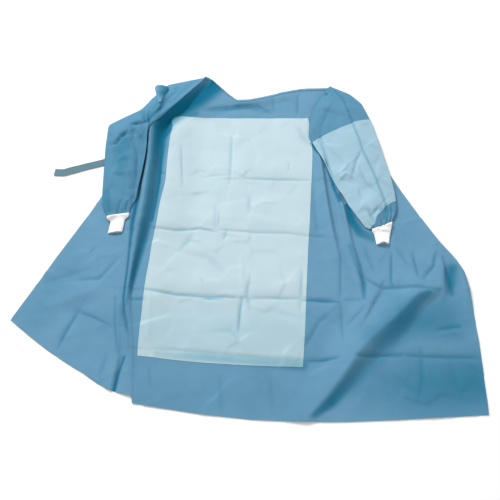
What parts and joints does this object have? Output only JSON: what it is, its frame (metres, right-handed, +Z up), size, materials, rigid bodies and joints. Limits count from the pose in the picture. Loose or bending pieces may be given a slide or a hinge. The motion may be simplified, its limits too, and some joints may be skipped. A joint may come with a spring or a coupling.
{
  "type": "surgical gown",
  "caption": "Disposable surgical gown laid out flat, front up, with a reinforced front and sleeve and knit cuffs.",
  "frame": {"origin": "middle of the laid-out gown's bounding box, on the surface that it rests on", "axes": "+Z up from the surface, +Y from the hem towards the neck, +X towards the wearer's left sleeve"},
  "size_m": [1.474, 1.3695, 0.049],
  "materials": {
    "nonwoven": "matt blue spunbond nonwoven with a fine point bond",
    "laminate": "pale blue laminated nonwoven, slightly smooth",
    "knit": "white rib knit",
    "strap": "matt grey-blue folded nonwoven strap"
  },
  "bodies": {
    "root": {"front": "nonwoven", "back_right": "nonwoven", "back_left": "nonwoven", "sleeve_right": "nonwoven", "sleeve_left": "nonwoven", "neck_binding": "nonwoven", "neck_tab": "nonwoven", "front_reinforcement": "laminate", "sleeve_left_reinforcement": "laminate", "cuff_right": "knit", "cuff_left": "knit", "waist_tie": "strap"}
  },
  "joints": []
}
